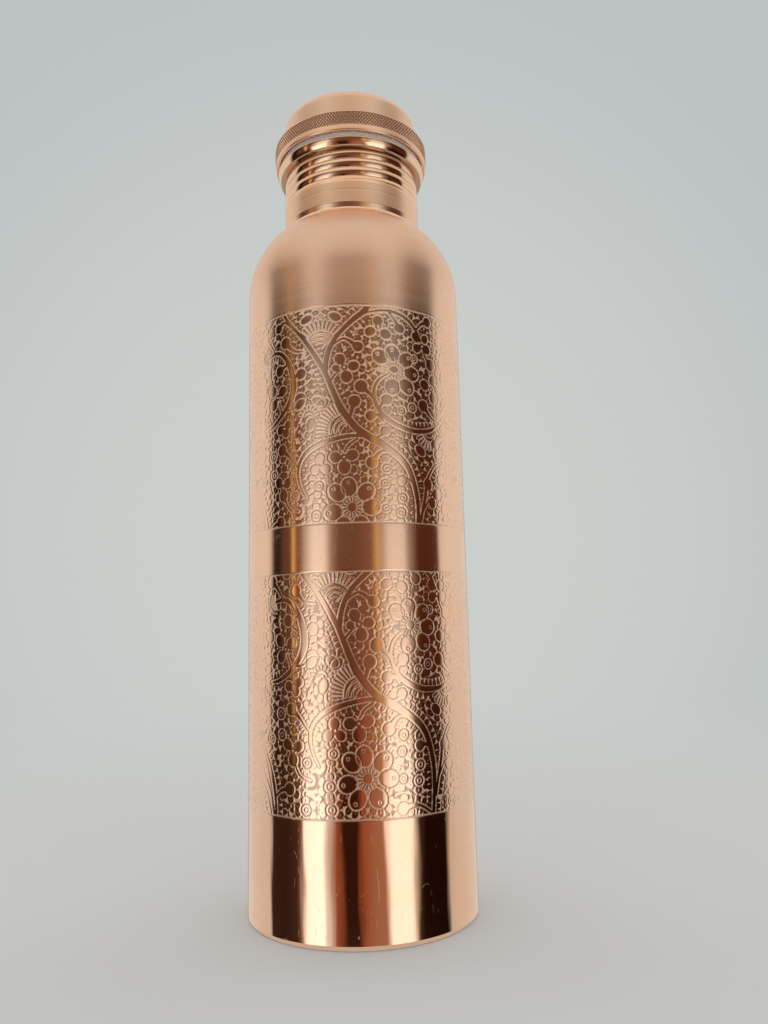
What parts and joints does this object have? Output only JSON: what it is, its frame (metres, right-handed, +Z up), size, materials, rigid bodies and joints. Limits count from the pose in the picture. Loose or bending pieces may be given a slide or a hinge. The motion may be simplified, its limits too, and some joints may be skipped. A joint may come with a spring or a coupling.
{
  "type": "water bottle",
  "caption": "Copper water bottle with engraved floral bands round the body, a rolled-thread neck and a knurled screw-in lid with a silicone gasket.",
  "frame": {"origin": "centre of the foot ring, on the surface that the bottle stands on", "axes": "+Z up along the bottle's axis; -Y is the side whose engraving faces the viewer"},
  "size_m": [0.073, 0.073, 0.2718],
  "materials": {
    "copper_brushed": "brushed round the body, bright",
    "copper_polished": "polished",
    "copper_satin": "satin",
    "copper_knurled": "knurled, slightly darkened",
    "silicone": "matte translucent white"
  },
  "bodies": {
    "bottle": {"body_shell": "copper_brushed", "base_disc": "copper_brushed", "neck_sleeve": "copper_polished"},
    "seal": {"gasket": "silicone"},
    "lid": {"knurled_flange": "copper_knurled", "lid_crown": "copper_satin", "plug_sleeve": "copper_polished", "plug_end": "copper_satin"}
  },
  "joints": [
    {"name": "lid_rise", "type": "slide", "parent": "bottle", "child": "seal", "axis": [0, 0, 1], "range_m": [0, 0.0144]},
    {"name": "lid_turn", "type": "hinge", "parent": "seal", "child": "lid", "pos_m": [0, 0, 0.252], "axis": [0, 0, 1], "range_deg": [0, 1620]}
  ],
  "couplings": [
    {"joint": "lid_turn", "follows": "lid_rise", "rad_per_m": 1963.5}
  ]
}
